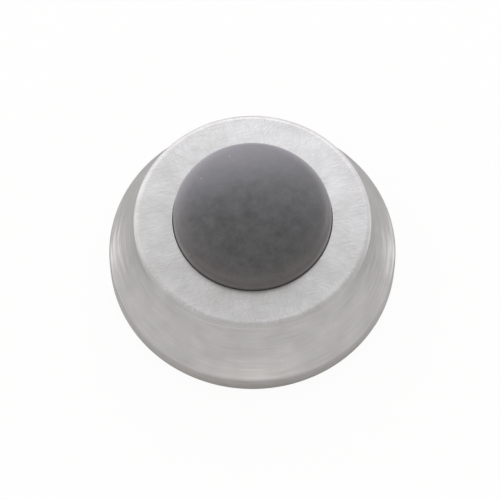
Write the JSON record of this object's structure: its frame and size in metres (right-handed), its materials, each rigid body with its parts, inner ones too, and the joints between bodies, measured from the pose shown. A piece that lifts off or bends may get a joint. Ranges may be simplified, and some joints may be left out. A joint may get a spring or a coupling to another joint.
{
  "type": "wall door stop",
  "caption": "Round wall door stop: a satin metal cover with a hollow, flared flank holds a convex grey rubber bumper and screws to the wall from behind.",
  "frame": {"origin": "centre of the base, on the wall plane", "axes": "+Z out of the wall, along the axis of the cover and towards the bumper; X and Y lie in the wall and are alike, because the part is round"},
  "size_m": [0.0635, 0.0634, 0.0286],
  "materials": {
    "satin_steel": "satin brushed",
    "grey_rubber": "matt moulded",
    "zinc_plate": "bright zinc plated"
  },
  "bodies": {
    "root": {"cover": "satin_steel", "rubber_bumper": "grey_rubber", "retainer_cup": "zinc_plate"}
  },
  "joints": []
}
